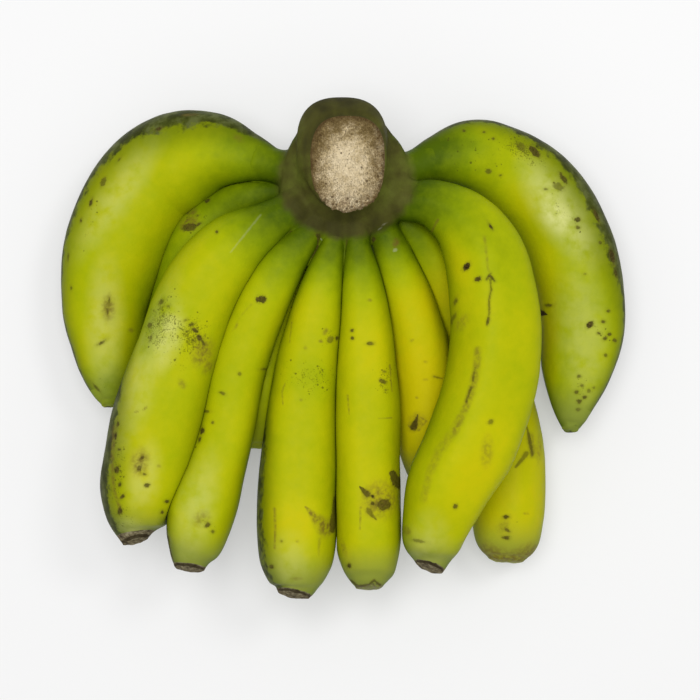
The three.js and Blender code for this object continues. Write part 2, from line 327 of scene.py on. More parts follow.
# Marks on the skin as seen from above, in millimetres: x, y, length, width, turn in degrees
# against the clock from +X, and how dark it is from 0 to 1, or how pale below 0.
MARKS = {
    "finger_01": [
        (-111, 20, 13, 6.5, 88, 0.42), (-110.5, 23.5, 4.2, 1.2, 80, 0.75),
        (-111.5, 18.5, 3.8, 1.2, 95, 0.7), (-114.5, 3.5, 5.2, 1.9, 30, 0.75),
        (-101, 9.5, 2.8, 2.4, 0, 0.3), (-86.5, 104.5, 4.2, 1.9, 15, 0.85), (-119, 70, 4.2, 1.9, 75, 0.9),
        (-113, 79.5, 4.7, 2.8, 70, 0.6), (-124, 61.5, 2.8, 1.4, 75, 0.8),
        (-105.5, 90.5, 3.8, 1.4, 50, 0.6), (-129, 29.5, 2.4, 1.4, 90, 0.7),
        (-48.5, 99.5, 6.1, 3.8, -30, 0.25), (-72, 111.5, 8.5, 1.9, 0, 0.4),
        (-130.5, 44.5, 5.6, 1.4, 85, 0.6), (-117.5, -18, 6.6, 1.4, -50, 0.6)],
    "finger_02": [
        (-73, 58.4, 8.4, 4.2, 8, 0.72), (-68, 59.5, 3.4, 1.8, 30, 0.85), (-38.5, 67.6, 9, 2.4, 12, -0.3),
        (-73, 60.5, 10, 7, 15, 0.48), (-71.5, 66, 6, 5, 20, 0.4), (-74, 66, 3, 2.2, 20, 0.6),
        (-64, 71, 2.9, 2.4, 0, 0.8), (-68.5, 64, 2.4, 1.4, 0, 0.6), (-65.5, 56.5, 1.9, 1.4, 0, 0.7)],
    "finger_03": [
        (-66.8, 9, 3.8, 2.2, -30, 0.85), (-64.8, 5.8, 4, 2.4, -50, 0.85), (-68, 11.6, 3.2, 1.8, 20, 0.8),
        (-63, 3.2, 3, 1.6, -60, 0.75), (-67.4, 4.4, 2.6, 1.4, -40, 0.7), (-70, 8.5, 2.4, 1.4, 0, 0.6),
        (-71, 13.5, 2.2, 1.2, 30, 0.6), (-63.5, -1, 14, 9, 70, 0.45), (-61, -7.5, 8, 5, 60, 0.35),
        (-72.5, -15.5, 4.6, 3.6, -60, 0.35), (-82.5, 22, 3.6, 2.3, 30, 0.6), (-79, 20, 2.3, 1.4, 0, 0.6),
        (-88, 11.5, 3.2, 2.3, 60, 0.6), (-87, 5.5, 3.6, 1.8, 70, 0.5), (-91.5, -51, 13, 8.5, 80, 0.46),
        (-90.5, -49, 2.7, 1.8, 30, 0.75), (-92, -54, 3.6, 2.3, 60, 0.7),
        (-89.5, -56.5, 2.3, 1.4, 0, 0.7), (-88.5, -61.5, 2.7, 2.3, 40, 0.8),
        (-80, -69.5, 2.3, 1.8, 0, 0.85), (-82.5, -74.5, 2.3, 1.8, 40, 0.85), (-57, 54, 1.8, 1.8, 0, 0.8),
        (-83, -53, 2.3, 1.8, 0, 0.3), (-102.5, -34, 3.2, 1.8, 80, 0.8),
        (-103.5, -39.5, 3.6, 1.8, 85, 0.85), (-101.5, -45.5, 2.3, 1.4, 0, 0.7),
        (-102.5, -54.5, 4.1, 2.3, 80, 0.85), (-101, -61.5, 2.7, 1.8, 60, 0.8),
        (-100, -67, 3.6, 1.8, 50, 0.85), (-101.5, -74, 3.6, 2.3, 80, 0.8), (-93, -28, 3.2, 0.9, 20, 0.4),
        (-89, -26.5, 3.2, 0.9, 40, 0.4)],
    "finger_04": [
        (-37, 23.5, 4.6, 3.7, -10, 0.9), (-36, -9, 3.7, 1.4, 0, 0.6), (-47, -11, 1.8, 1.8, 0, 0.5),
        (-55, -20, 3.2, 1.8, -20, 0.6), (-62.5, -28.5, 3.7, 1.4, 0, 0.6),
        (-59.5, -33.5, 1.8, 1.8, 0, 0.6), (-64.5, -37.5, 3.7, 2.3, 80, 0.9),
        (-65.5, -41.5, 3.2, 1.8, 70, 0.8), (-61, -80, 2.8, 2.3, 20, 0.8), (-59, -83, 2.3, 1.8, 0, 0.6),
        (-64, -77, 9, 7, 30, 0.3), (-48.5, 11, 3.2, 1.4, 60, 0.3)],
    "finger_06": [
        (-7.5, 8.5, 3.7, 2.8, 60, 0.4), (-5, 5, 4.1, 2.8, 50, 0.5), (-2, 5.5, 1.8, 1.8, 0, 0.8),
        (-9.5, 4, 2.3, 1.4, 0, 0.4), (-16.5, 1, 1.8, 1.8, 0, 0.35), (-32, -99.5, 2.8, 2.3, 20, 0.75),
        (-18.5, -23, 1.8, 1.4, 0, 0.3), (-27.5, -87.5, 1.8, 1.4, 0, 0.5), (-20, -87.5, 1.8, 1.4, 0, 0.3),
        (-20.5, -105, 5.5, 1.8, 0, 0.25)],
    "finger_07": [
        (19.5, -71.5, 6.5, 5.5, 0, 0.75), (18, -69, 17, 17, 0, 0.45), (14.5, -67.5, 1.8, 1.8, 0, 0.9),
        (14.5, -70.5, 1.8, 1.8, 0, 0.8), (5, 9, 1.8, 1.8, 0, 0.8), (5, 5.5, 1.8, 1.8, 0, 0.8),
        (13.5, 3, 3.7, 1.8, 0, 0.7), (13, 23, 2.8, 1.4, 0, 0.4), (19, -14.5, 3.7, 2.3, -20, 0.7),
        (20, -10, 2.3, 1.4, 0, 0.5), (3.5, -100, 2.3, 2.8, 0, 0.85), (20.5, -18.5, 1.8, 1.4, 0, 0.6),
        (1, -91.5, 8.3, 2.8, -75, 0.3)],
    "finger_08": [
        (25.5, 50, 5, 3.4, 70, 0.48), (25, 46.5, 2.6, 1.8, 20, -0.25), (35.5, -33.5, 8.5, 7.6, 45, 0.35),
        (39.5, -14, 2.8, 1.4, 0, 0.3), (33, 4.5, 2.4, 1.4, 30, 0.3), (39.5, -5.5, 2.4, 1.4, 0, 0.25),
        (35.5, -22.5, 1.9, 1.4, 0, 0.3)],
    "finger_09": [
        (78.5, -79.5, 3.3, 1.9, 10, 0.85), (79, -86, 3.3, 1.9, -40, 0.7),
        (78.5, -89.5, 3.8, 2.4, 0, 0.8), (77, -83.5, 7.7, 4.8, 60, 0.3), (88, -78, 2.9, 1.4, 0, 0.4),
        (95, -48, 12.4, 3.3, 88, 0.35)],
    "finger_10": [
        (68, 56.5, 3.6, 1.6, -60, 0.95), (57, 38, 4.5, 2.7, 50, 1), (62, 32, 3.2, 2.7, 20, 0.9),
        (52.5, 22.5, 4.5, 1.8, 75, 0.6), (51.5, 14.5, 7.2, 1.8, 70, 0.5), (55, 12.5, 9, 5, 60, 0.25),
        (67.5, -32.5, 3.2, 2.3, 20, 0.55), (52, -71, 2.7, 2.7, 0, 0.75), (66, -46, 15, 6, 88, 0.25),
        (30, -83.5, 4.1, 4.1, 0, 0.45), (35.5, -87.5, 6.8, 1.8, -8, 0.5)],
    "finger_11": [
        (112, 62, 3.3, 2.8, 0, 0.8), (112, 58, 2.4, 1.9, 0, 0.7), (102.5, 77.5, 5.7, 3.8, -30, 0.5),
        (115.5, 36, 1.9, 1.4, 0, 0.5), (123, 51, 1.9, 1.9, 0, 0.6), (118, 12, 3.8, 2.8, 30, 0.95),
        (122.5, 8, 2.4, 1.9, 0, 0.8), (125.5, 5.5, 2.8, 1.9, 30, 0.8), (128, 7.5, 2.4, 1.9, 0, 0.8),
        (130.5, 4.5, 2.8, 2.4, 0, 0.7), (124.5, 13.5, 2.4, 1.9, 0, 0.75), (127, 18.5, 2.4, 1.9, 0, 0.7),
        (126, -2.5, 2.4, 1.9, 0, 0.6), (113, -12.5, 2.4, 1.9, 0, 0.6), (114.5, -17, 2.4, 1.9, 0, 0.6),
        (112, -20, 2.4, 1.9, 0, 0.7), (116, -22.5, 2.8, 1.9, 0, 0.75), (113.5, -24.5, 2.8, 2.4, 0, 0.75),
        (118, -19.5, 2.4, 1.9, 0, 0.5), (113, -28.5, 2.8, 1.9, 0, 0.5), (120.5, -18, 1.9, 1.4, 0, 0.5),
        (100, 21.5, 3.8, 1.9, 0, 0.7), (57.5, 103, 1.9, 1.4, 0, 0.7), (67, 102.5, 1.9, 1.4, 0, 0.7),
        (71.5, 99.5, 1.9, 1.4, 0, 0.7), (69, 84, 2.8, 2.4, 0, 0.6), (75, 82.5, 1.9, 1.4, 0, 0.6),
        (91, 94, 7.1, 3.8, -50, 0.85), (84.5, 96.5, 6.6, 3.8, -30, 0.5), (105, 81.5, 6.2, 2.8, -50, 0.8),
        (121.5, 64, 6.6, 2.4, -65, 0.8), (129, 45, 7.6, 2.8, -75, 0.9), (131, 36.5, 4.7, 1.9, -80, 0.7),
        (96.5, 76, 2.4, 1.4, 0, 0.6)],
    # On the crown the first two pale marks are painted glints on drops of water
    "crown": [
        (-11, 52.5, 2.6, 1, 60, -0.6), (-9.5, 51.5, 1.8, 0.9, -40, -0.6), (20, 58.5, 3.4, 0.9, 30, -0.3),
        (18, 56.6, 3, 0.9, 35, -0.25), (-7, 58, 7, 5, 70, 0.45), (20, 68, 2.4, 1.2, 50, 0.7),
        (21.5, 71, 2, 1.2, 60, 0.7), (13, 59, 4, 1.6, -20, 0.4)],
}

# Scratches, wedges and, on the crown, painted shade in the creases between the necks: width at the start
# and at the end, how dark, then x and y of corners.
STROKES = {
    "finger_03": [
        (1.3, 1, -0.12, -37, 62, -43.5, 53.5, -50.5, 44.5),
        (2.4, 1.9, 0.35, -104.5, -35.5, -105, -50, -104, -64, -101, -74)],
    "finger_04": [
        (1.2, 0.5, 0.12, -41.5, 21, -47, 15, -50.5, 8.5),
        (1.4, 0.9, 0.6, -80, -86.5, -79.5, -92.5, -78, -97)],
    "finger_06": [
        (8.6, 0.8, 0.48, -7, -82, -11.5, -77.5, -16.4, -72),
        (3.6, 2.6, 0.7, -1.5, -66.5, -3.2, -76, -4.2, -84),
        (1.3, 1, 0.4, -30.7, -73, -30.3, -83, -30.6, -91),
        (0.7, 0.7, 0.35, -26, -15.5, -27.5, -19.5, -27, -25), (1.8, 0.5, 0.25, -10, -86.5, -10.5, -94.5),
        (0.9, 0.7, 0.3, -23, 13, -24, 3.5)],
    "finger_07": [
        (3.4, 0.6, 0.8, 12, -66.5, 8.5, -63), (3, 1.2, 0.6, 12.5, -74, 14, -76, 16, -78),
        (1.5, 1.3, 0.7, 4.5, -107.5, 7.5, -110, 12.4, -109.4, 15.2, -106.6, 18, -109.4),
        (5.2, 3.4, 0.8, 26.5, -62.5, 24, -57.5), (1.2, 0.7, 0.35, 9, -72.5, 8.5, -82.5),
        (0.7, 0.5, 0.35, 17.5, -31.5, 23.5, -31.5), (0.9, 0.5, 0.4, 3, -21, 3.5, -29.5),
        (0.9, 0.5, 0.4, 22.5, -7, 23.5, -19.5)],
    "finger_08": [
        (3.8, 0.6, 0.85, 34, -36.5, 36, -30.5), (1.2, 1, 0.45, 35.5, -30.5, 40, -33.5, 36.5, -38),
        (1.2, 1, 0.45, 32, -36, 34.5, -38), (1.4, 0.7, 0.6, 43.5, -12.5, 47.5, -13.5)],
    "finger_09": [
        (0.8, 2.6, 0.62, 88.5, -35.5, 90, -42, 91.3, -50), (5, 4, 0.3, 90.5, -42, 92, -50),
        (2.6, 1.2, 0.55, 88.5, -49.5, 86, -52.5, 83, -56), (13, 11, 0.46, 69, -99, 80, -103, 91, -98)],
    "finger_10": [
        (1.3, 1.2, 0.85, 65.8, 31.8, 67.6, 34.6), (1.2, 1.4, 0.8, 67.6, 33.4, 69.4, 31.2),
        (1.3, 1.2, 0.62, 67.5, 32, 67.8, 27, 66.8, 22.5, 67, 17, 66, 12),
        (1.8, 1.4, 0.8, 66.5, 14, 66, 11.5), (1.6, 1.2, 0.25, 65, 51.5, 66.5, 36),
        (3.4, 4, 0.34, 62, 0, 61, -10, 59, -19, 55.5, -28, 51, -37),
        (1.4, 1, 0.4, 44.3, 59.7, 41.6, 54.3), (1, 1.5, 0.6, 60.5, -8, 59.6, -14),
        (1.5, 1, 0.65, 58.8, -17, 56.5, -23.5),
        (4.4, 3.4, 0.2, 51.5, -36, 44.5, -46, 40, -56.5, 37.5, -68)],
    "finger_11": [
        (4.7, 0.5, 1, 94.5, 18.5, 99, 17), (2.4, 0.5, 0.9, 92.5, 9.5, 92, 6)],
    # painted shade: dark lines in the creases between the necks
    "crown": [
        (3, 1.6, 0.8, -10.8, 53, -13.4, 41), (1.2, 1, 0.7, 2.6, 51, 2.1, 41),
        (2, 1.4, 0.8, 15, 52, 17.5, 45), (1.8, 1.4, 0.7, -23, 54.5, -27.5, 48)],
}

# How far the green of the necks reaches from the crown, how ripe they are on the crown's own
# piece, and the shares of the collar between which the rind fades out
NECK_REACH = 50
NECK_RIPE = 0.6
STALK_FADE = (1.24, 0.9)
# Places without a mark, and marks less dark than this, which are soft stains
NO_MARK = -9.0
SOFT_BELOW = 0.5
# Marks as wide as this in millimetres have the most ragged edges
WIDE_MARK = 3.5
# How much the skin shines
SKIN_GLOSS = 0.04
# Rings of a banana's dry end, as shares of its radius, and how far it bulges
END_RINGS = [0.97, 0.88, 0.72, 0.5, 0.26]
END_BULGE = 1.2
# How much wider than stated a soft patch reaches, and where inside that it has full strength
PATCH_SPREAD = 1.5
PATCH_CORE = 0.85

# Soft patches as seen from above: x, y, length, width, turn and strength.
# Fine dark specks:
SPECKLED = {
    "finger_01": [(-118, 62, 40, 7, 68, 0.35), (-116, -14, 14, 6, -50, 0.4)],
    "finger_02": [(-71, 61, 17, 10, 30, 0.6), (-60, 66, 16, 4, 30, 0.3)],
    "finger_03": [(-83, 14, 32, 16, 65, 0.9), (-67, 7, 19, 16, 75, 0.85), (-76, 0, 30, 24, 80, 0.5),
                  (-102, -56, 46, 9, 88, 0.75), (-99, -78, 16, 18, 0, 0.55)],
    "finger_04": [(-61, -79, 12, 8, 20, 0.3), (-65, -40, 13, 5, 70, 0.5)],
    "finger_06": [(-14, -13, 28, 19, 0, 0.75), (-6, 6, 12, 10, 0, 0.6)],
    "finger_07": [(20, -13, 20, 10, 80, 0.8)],
    "finger_08": [(37, -5, 22, 10, 80, 0.12)],
    "finger_09": [(79, -85, 12, 12, 0, 0.3)],
    "finger_11": [(64, 94, 54, 28, -5, 0.42), (88, 93, 26, 11, -35, 0.85), (106, 68, 30, 16, -50, 0.5),
                  (124, 8, 16, 14, 0, 0.4), (115, -20, 18, 12, -80, 0.55)],
}
# Riper and greener places; on finger_11's inner side the riper patches are partly painted light,
# lightening skin that lies in shade:
RIPENED_AND_LIT = {
    "finger_01": [(-112, 14, 50, 18, 88, 0.1), (-72, 100, 50, 20, 0, -0.14),
                  (-112, -20, 26, 26, 0, -0.3)],
    "finger_03": [(-86, 12, 34, 12, 68, -0.25), (-90, -56, 40, 16, 84, 0.14)],
    "finger_06": [(-22, -82, 26, 26, 0, 0.22), (-14, -14, 22, 24, 0, -0.12),
                  (-14, 22, 26, 14, 80, 0.12)],
    "finger_07": [(16, 0, 36, 16, 88, 0.1), (16, -66, 26, 16, 80, 0.12)],
    "finger_08": [(38, -22, 60, 24, 85, 0.12)],
    "finger_09": [(83, -60, 40, 26, 85, -0.06)],
    "finger_10": [(60, -56, 50, 28, 62, 0.2), (50, 44, 28, 14, -60, 0.2), (74, 40, 40, 24, -60, -0.16)],
    "finger_11": [(80, 78, 44, 16, -35, 0.06), (94, 54, 60, 14, -62, 0.16), (98, 14, 56, 12, -88, 0.3),
                  (56, 98, 40, 14, 0, -0.16)],
}
# Painted sheen and highlights, and in places pale waxy bloom:
SHEEN_AND_BLOOM = {
    "finger_01": [(-106, 74, 66, 16, 55, 0.4), (-113, 12, 60, 16, 88, 0.4)],
    "finger_03": [(-90, -10, 80, 16, 72, 0.35), (-78, 6, 26, 11, 76, 0.6), (-90, -58, 30, 14, 80, 0.4),
                  (-100, -84, 17, 13, 0, 0.5)],
    "finger_04": [(-66, -72, 46, 16, 78, 0.4)],
    "finger_06": [(-24, -98, 18, 26, 0, 0.3)],
    "finger_10": [(40, -90, 30, 18, 85, 0.25)],
    "finger_11": [(104, 66, 52, 20, -55, 0.9), (101, 63, 15, 11, -50, 0.6), (115, 8, 66, 22, 95, 0.35)],
}
# Painted light: sides that get less of the painted flank shade although they turn away:
LIT = {
    "finger_11": [(86, 68, 60, 20, -48, 0.45), (92, 46, 60, 20, -66, 0.45), (96, 10, 60, 18, -88, 0.4)],
    "finger_09": [(68, -40, 60, 20, -70, 0.3)],
    "finger_08": [(38, -30, 70, 30, -80, 0.3)],
}
# How deep the painted shade of the dark face and the grey of the tip may be, where it isn't all of it:
DARK_LIMITS = {"finger_06": 0.62}
TIP_LIMITS = {"finger_01": 0.35, "finger_05": 0.3, "finger_09": 0.8}


def oval(points, x, y, length, width, turn):
    """1 at the middle of an oval, 0 on its edge and less outside it, seen from above."""
    angle = math.radians(turn)
    dx, dy = points[:, 0] - x, points[:, 1] - y
    long_way = dx * math.cos(angle) + dy * math.sin(angle)
    short_way = dy * math.cos(angle) - dx * math.sin(angle)
    return 1 - np.hypot(long_way / (length / 2), short_way / (width / 2))


def stroke(points, width_from, width_to, corners):
    """1 on a line through the corners, 0 on the edge of its width and less outside it."""
    corners = np.array(corners, float).reshape(-1, 2)
    widths = np.linspace(width_from, width_to, len(corners))
    nearest = np.full(len(points), NO_MARK)
    for start, end, wide, narrow in zip(corners, corners[1:], widths, widths[1:]):
        span = end - start
        share = np.clip(((points[:, :2] - start) @ span) / (span @ span), 0, 1)
        away = np.linalg.norm(points[:, :2] - start - share[:, None] * span, axis=1)
        nearest = np.maximum(nearest, 1 - away / ((wide + (narrow - wide) * share) / 2))
    return nearest


def patches(points, rows):
    """The total of some soft patches at each point."""
    total = np.zeros(len(points))
    for x, y, length, width, turn, strength in rows:
        wide = oval(points, x, y, length * PATCH_SPREAD, width * PATCH_SPREAD, turn)
        total += strength * ease(wide, 0, PATCH_CORE)
    return total


def marks(points, name, upper):
    """How many millimetres inside a spot each point is, how dark that spot is or how pale
    below 0, how ragged its edge is, and how deep the soft stains are."""
    fields = [(oval(points, *row[:5]), row[3], row[5]) for row in MARKS.get(name, ())]
    fields += [(stroke(points, *row[:2], row[3:]), sum(row[:2]) / 2, row[2])
               for row in STROKES.get(name, ())]
    marks_crease_shade_and_glints = np.full(len(points), NO_MARK)
    tone, fray, stain = np.zeros((3, len(points)))
    for field, width, dark in fields:
        if 0 < dark < SOFT_BELOW:
            stain = np.maximum(stain, dark * ease(field, -0.45, 0.75))
        else:
            inside = field * width / 2
            tone = np.where(inside > marks_crease_shade_and_glints, dark, tone)
            fray = np.where(inside > marks_crease_shade_and_glints, min(width / WIDE_MARK, 1), fray)
            marks_crease_shade_and_glints = np.maximum(marks_crease_shade_and_glints, inside)
    return {"marks_crease_shade_and_glints": np.where(upper, marks_crease_shade_and_glints, NO_MARK), "tone": tone, "fray": fray,
            "stain": np.where(upper, stain, 0)}


def beyond_crown(points):
    """How far a point is from the crown's collar, in millimetres."""
    return (crown_share(points) - 1) * COLLAR[3]


def fruit_layers(fruit, points, ring, angle, facing):
    """The masks that colour a fruit's skin, one value for each point."""
    share = fruit.run[ring] / fruit.length
    left = fruit.length - fruit.run[ring]
    upper = ease(facing, -0.1, 0.25)
    dryness, reach = fruit.tip[2:]
    ripe = fruit.ripe * ease(beyond_crown(points), 0, NECK_REACH)
    return {
        "ripe": ripe + upper * patches(points, RIPENED_AND_LIT.get(fruit.name, ())),
        "crest": fruit.crests(ring, angle) / 0.1,
        "tip": ease(left, 24, 4) * TIP_LIMITS.get(fruit.name, 1),
        "dry": dryness * ease(left, reach + 0.6, reach - 0.6),
        "rim": dryness * np.exp(-(left / 0.9) ** 2) * (1 + np.sin(angle)) / 2,
        **marks(points, fruit.name, upper > 0.5),
        "specks": upper * patches(points, SPECKLED.get(fruit.name, ())),
        "sheen_and_bloom": upper * patches(points, SHEEN_AND_BLOOM.get(fruit.name, ())),
        "shade": np.minimum(fruit.dark_face(ring, angle), DARK_LIMITS.get(fruit.name, 1)),
        "stalk": ease(crown_share(points), *STALK_FADE) * ease(share, 0.3, 0.2),
        # the LIT patches are painted light: they raise the facing so that less painted flank shade falls
        # there
        "facing": facing + upper * patches(points, LIT.get(fruit.name, ())),
    }


def pressed_skin(fruit, made):
    """A fruit's slightly uneven skin, pressed in where it leans on those made before it."""
    points, ring, angle = fruit.surface()
    left = fruit.length - fruit.run[ring]
    outward = unit(points - fruit.path[ring])
    swell = 0.4 * lumps(points, 18, fruit.seed) + 0.1 * lumps(points, 6, fruit.seed + 40)
    crumple = 0.45 * lumps(points, 2.2, fruit.seed + 80) * (1 - ease(left, 1, 4))
    points = points + outward * (swell * ease(left, 0, 10) + crumple)[:, None]
    for neighbour in made:
        points = neighbour.press(points)
    points[:, 2] = np.maximum(points[:, 2], TABLE_GAP)
    return points, ring, angle


def dry_end(fruit, rim):
    """Points that close a fruit's tip with a rough shallow bulge, ring by ring, middle last."""
    heart = rim.mean(0)
    caps = []
    for share in END_RINGS:
        spots = heart + (rim - heart) * share
        rise = END_BULGE * math.sqrt(1 - share**2) - 0.5 * lumps(spots, 3, fruit.seed + 9)
        caps.append(spots + fruit.along[-1] * rise[:, None])
    return np.vstack([*caps, heart + fruit.along[-1] * END_BULGE])


def fruit_faces(fruit):
    """Faces over a fruit's skin and its dry end, and one that closes it inside the crown."""
    sides, rings = fruit.sides, fruit.rings + len(END_RINGS)
    last, middle = (rings - 1) * sides, rings * sides
    faces = grid_faces(rings, sides).tolist()
    faces += [[last + i, last + (i + 1) % sides, middle] for i in range(sides)]
    return faces + [list(range(sides))[::-1]]


def build_fruits():
    """Every banana as its own piece, uppermost first."""
    made, pieces = [], []
    for name, traits in FRUITS.items():
        fruit = Fruit(name, **traits)
        points, ring, angle = pressed_skin(fruit, made)
        made.append(fruit)
        count = len(points)
        points = np.vstack([points, dry_end(fruit, points[-fruit.sides:])])
        ring = np.concatenate([ring, np.full(len(points) - count, fruit.rings - 1)])
        angle = np.concatenate([angle, np.tile(angle[:fruit.sides], len(END_RINGS)), [0]])
        facing = unit(points - fruit.path[ring])[:, 2]
        layers = fruit_layers(fruit, points, ring, angle, facing)
        share = np.append(np.repeat(END_RINGS, fruit.sides), 0)
        layers["rim"][count:] *= np.exp(-(6 * (1 - share) / 0.9) ** 2)
        # how much painted flank shade falls on the dry end
        layers["facing"][count:] = 0.6
        piece = make_mesh(name.replace("finger", "banana"), points, fruit_faces(fruit), layers)
        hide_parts(name)
        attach(piece, "root")
        pieces.append(piece)
    return made, pieces


# The stalk crown: the section above its cut, loft rows and sides, how square and how
# egg-shaped its sections are, and the voxel and smoothing before its top is cut flat
ABOVE_CUT = [90, 3, 82.5, 15.5, 21]
CROWN_ROWS, CROWN_SIDES = 60, 72
CROWN_SQUARENESS = 2.6
CROWN_EGG = 0.07
CROWN_VOXEL = 0.75 * MM
CROWN_SMOOTHING = 10
# Its axis, the middle and half widths of the paler heart of its cut end, how far the cut
# reaches from its middle to its ragged low side, and the rings of points across it
CROWN_AXIS = (2, 84)
CUT_MIDDLE = (2.5, 80)
CUT_HALF = (15, 24)
CUT_LENGTH = 21
CUT_RINGS = 40
# The sleeves round the necks: sides, length, and how far each flares, sinks and fades
SLEEVE_SIDES = 40
SLEEVE_LENGTH = 26
SLEEVE_FLARE = 3.2
SLEEVE_SINK = 1.4
SLEEVE_FADE = 6


def crown_loft():
    """The crown without its necks, as rings of rounded-off ellipses that run past the cut."""
    rows = np.array(CROWN_SECTIONS + [ABOVE_CUT], float)
    rows = spline(rows, np.ones(len(rows) - 1), CROWN_ROWS // (len(rows) - 1))
    turn = np.linspace(0, 2 * math.pi, CROWN_SIDES, endpoint=False)
    power = 2 / CROWN_SQUARENESS
    across = np.sign(np.cos(turn)) * np.abs(np.cos(turn)) ** power
    along = np.sign(np.sin(turn)) * np.abs(np.sin(turn)) ** power
    egg = 1 + CROWN_EGG * np.sin(turn) * ease(rows[:, :1], 60, 78)
    points = np.stack([
        rows[:, 1:2] + rows[:, 3:4] * across * egg,
        rows[:, 2:3] + rows[:, 4:5] * along,
        np.repeat(rows[:, :1], CROWN_SIDES, 1)], -1).reshape(-1, 3)
    return points, tube_faces(len(rows), CROWN_SIDES)


def sleeve(fruit):
    """A closed flare round a fruit's neck that sinks under its skin as it leaves the crown."""
    last = int(np.searchsorted(fruit.run, SLEEVE_LENGTH))
    rings = np.arange(0, last, 3)
    angle = np.linspace(0, 2 * math.pi, SLEEVE_SIDES, endpoint=False)
    ring, angle = np.meshgrid(rings, angle, indexing="ij")
    ring, angle = ring.ravel(), angle.ravel()
    beyond = beyond_crown(fruit.path[ring]) + 1.5
    sink = SLEEVE_SINK * (0.5 + 0.5 * np.sin(angle))
    flare = SLEEVE_FLARE * np.exp(-np.maximum(beyond, 0) / SLEEVE_FADE) - sink
    reach = fruit.radius(ring, angle) + flare
    across = (reach * np.cos(angle))[:, None] * fruit.side[ring]
    upward = (reach * np.sin(angle))[:, None] * fruit.top[ring]
    return fruit.path[ring] + across + upward, tube_faces(len(rings), SLEEVE_SIDES)


def grown_crown(fruits):
    """The crown and its necks grown into one skin and lightly bulged, as an open bmesh."""
    points, faces = crown_loft()
    shapes, count = [points], len(points)
    for fruit in fruits:
        neck, neck_faces = sleeve(fruit)
        faces += [[i + count for i in f] for f in neck_faces]
        shapes.append(neck)
        count += len(neck)
    rough = make_mesh("crown_rough", np.vstack(shapes), faces)
    remesh = rough.modifiers.new("grow_together", "REMESH")
    remesh.mode, remesh.voxel_size = "VOXEL", CROWN_VOXEL
    relax = rough.modifiers.new("relax", "SMOOTH")
    relax.factor, relax.iterations = 0.5, CROWN_SMOOTHING
    bpy.context.view_layer.update()
    grown = rough.evaluated_get(bpy.context.evaluated_depsgraph_get())
    shape = bmesh.new()
    shape.from_mesh(grown.to_mesh())
    bpy.data.objects.remove(rough)
    spots = np.array([v.co for v in shape.verts]) / MM
    shape.normal_update()
    normals = np.array([v.normal for v in shape.verts])
    strength = (0.3 + 0.7 * ease(spots[:, 2], 82, 74)) * ease(crown_share(spots), 1.3, 1.0)
    bulges = 0.6 * lumps(spots, 11, 3) + 0.25 * lumps(spots, 4, 5)
    spots += normals * (bulges * strength)[:, None]
    for vert, spot in zip(shape.verts, spots):
        vert.co = Vector(spot) * MM
    return shape


def cut_loop(shape):
    """Cuts the top off the crown and gives back the cut's corners in order, anticlockwise."""
    everything = shape.verts[:] + shape.edges[:] + shape.faces[:]
    cut = bmesh.ops.bisect_plane(shape, geom=everything, clear_outer=True,
                                 plane_co=(0, 0, CUT_HEIGHT * MM), plane_no=(0, 0, 1))
    rim = {e for e in cut["geom_cut"] if isinstance(e, bmesh.types.BMEdge)}
    edge = min(rim, key=lambda e: [*e.verts[0].co, *e.verts[1].co])
    loop = [edge.verts[0], edge.verts[1]]
    while True:
        onward = [e.other_vert(loop[-1]) for e in loop[-1].link_edges
                  if e in rim and e.other_vert(loop[-1]) is not loop[-2]]
        if onward[0] is loop[0]:
            break
        loop.append(onward[0])
    outline = np.array([v.co for v in loop])
    reach = outline - outline.mean(0)
    ahead = np.roll(reach, -1, axis=0)
    if (reach[:, 0] * ahead[:, 1] - reach[:, 1] * ahead[:, 0]).sum() < 0:
        loop.reverse()
    for e in rim:
        e.smooth = False
    return loop


def fill_cut(shape, loop):
    """Closes the cut with a spongy face and tells how far in each of its corners lies."""
    outline = np.array([v.co for v in loop]) / MM
    heart = outline.mean(0)
    low_side = ease((heart[1] - outline[:, 1]) / CUT_LENGTH, 0.45, 0.9)
    fray = 1.1 * lumps(outline, 1.4, 31) + 0.6 * lumps(outline, 3, 32) - 0.3
    outline[:, :2] += (unit(outline - heart) * (fray * low_side)[:, None])[:, :2]
    for vert, spot in zip(loop, outline):
        vert.co = Vector(spot) * MM
    rings, inset = [loop], {}
    for step in range(1, CUT_RINGS):
        share = 1 - (step / CUT_RINGS) ** 0.85
        spots = heart + (outline - heart) * share
        ragged = 1 + 2.2 * low_side * ease(share, 0.55, 0.95)
        relief = (0.2 * lumps(spots, 3.5, 21) + 0.14 * lumps(spots, 1.1, 22)) * ragged
        sunk = (relief - 0.25) * ease(1 - share, 0, 0.06)
        spots[:, 2] = CUT_HEIGHT + sunk + 0.4 * ease(1 - share, 0.1, 0.8)
        rings.append([shape.verts.new(Vector(s) * MM) for s in spots])
        inset.update(dict.fromkeys(rings[-1], 1 - share))
    middle = shape.verts.new(Vector((heart[0], heart[1], CUT_HEIGHT + 0.15)) * MM)
    inset[middle] = 1.0
    size = len(loop)
    for outer, inner in zip(rings, rings[1:] + [[middle] * size]):
        for i in range(size):
            j = (i + 1) % size
            onward = [middle] if inner[0] is middle else [inner[j], inner[i]]
            shape.faces.new([outer[i], outer[j], *onward]).material_index = 1
    return inset


